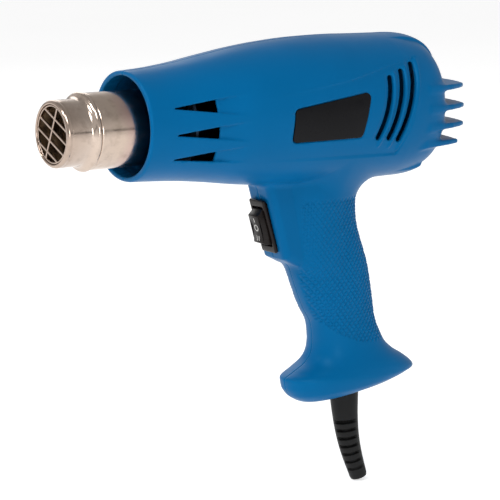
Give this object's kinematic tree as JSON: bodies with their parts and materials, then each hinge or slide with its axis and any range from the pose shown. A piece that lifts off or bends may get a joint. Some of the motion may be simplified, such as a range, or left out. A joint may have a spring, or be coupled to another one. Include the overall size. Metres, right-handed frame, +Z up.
{
  "type": "heat gun",
  "caption": "Pistol-grip hot-air gun with a stepped steel nozzle, split plastic body, rear air fins, rocker switch, flared foot and a short cable guard.",
  "frame": {"origin": "middle of the grip, on the gun's mid-plane", "axes": "+Z up, parallel to the world's vertical when the barrel is level; the nozzle points to -X; +Y is the gun's right-hand side"},
  "size_m": [0.25, 0.0756, 0.2505],
  "materials": {
    "case_blue": "satin",
    "black_gloss": "gloss",
    "black_plastic": "satin",
    "nozzle_steel": "satin",
    "zinc_steel": "satin",
    "mica": "matte",
    "resistance_wire": "satin",
    "fan_plastic": "matte",
    "magnet": "matte",
    "brass": "satin",
    "carbon": "matte",
    "board": "satin",
    "rubber": "matte",
    "wire_brown": "satin",
    "wire_blue": "satin",
    "wire_white": "satin"
  },
  "bodies": {
    "housing": {"left_shell": "case_blue", "right_shell": "case_blue", "badge_left": "black_gloss", "badge_right": "black_gloss", "case_screw_1": "zinc_steel", "case_screw_2": "zinc_steel", "case_screw_3": "zinc_steel", "case_screw_4": "zinc_steel", "case_screw_5": "zinc_steel", "case_screw_6": "zinc_steel", "case_screw_7": "zinc_steel", "case_screw_8": "zinc_steel", "case_screw_9": "zinc_steel", "clamp_screw_1": "zinc_steel", "clamp_screw_2": "zinc_steel", "nozzle_tube": "nozzle_steel", "nozzle_grille": "nozzle_steel", "heat_shield_ring": "zinc_steel", "mica_sleeve": "mica", "mica_former": "mica", "heater_coil_front": "resistance_wire", "heater_coil_rear": "resistance_wire", "element_base": "mica", "thermal_cutout": "zinc_steel", "fan_duct": "black_plastic", "motor_spider": "black_plastic", "motor_can": "zinc_steel", "motor_end_cap": "black_plastic", "bearing_front": "brass", "bearing_rear": "brass", "magnet_left": "magnet", "magnet_right": "magnet", "brush_left": "carbon", "brush_right": "carbon", "rectifier_board": "board", "diode_1": "black_plastic", "diode_2": "black_plastic", "diode_3": "black_plastic", "diode_4": "black_plastic", "switch_body": "black_plastic", "switch_terminal_1": "brass", "switch_terminal_2": "brass", "switch_terminal_3": "brass", "terminal_block": "wire_white", "wire_live": "wire_brown", "wire_neutral": "wire_blue", "wire_low_heat": "wire_white", "wire_high_heat": "wire_brown", "wire_motor": "wire_brown", "cable_guard": "rubber", "cord_clamp": "black_plastic"},
    "rotor": {"motor_shaft": "zinc_steel", "impeller": "fan_plastic", "armature": "zinc_steel", "commutator": "brass"},
    "rocker": {"switch_rocker": "black_gloss"}
  },
  "joints": [
    {"name": "motor_spin", "type": "hinge", "parent": "housing", "child": "rotor", "pos_m": [-0.025, 0, 0.095], "axis": [1, 0, 0], "continuous": true},
    {"name": "rocker_tilt", "type": "hinge", "parent": "housing", "child": "rocker", "pos_m": [-0.04144, 0, 0.03599], "axis": [0, 1, 0], "range_deg": [-9, 9]}
  ]
}
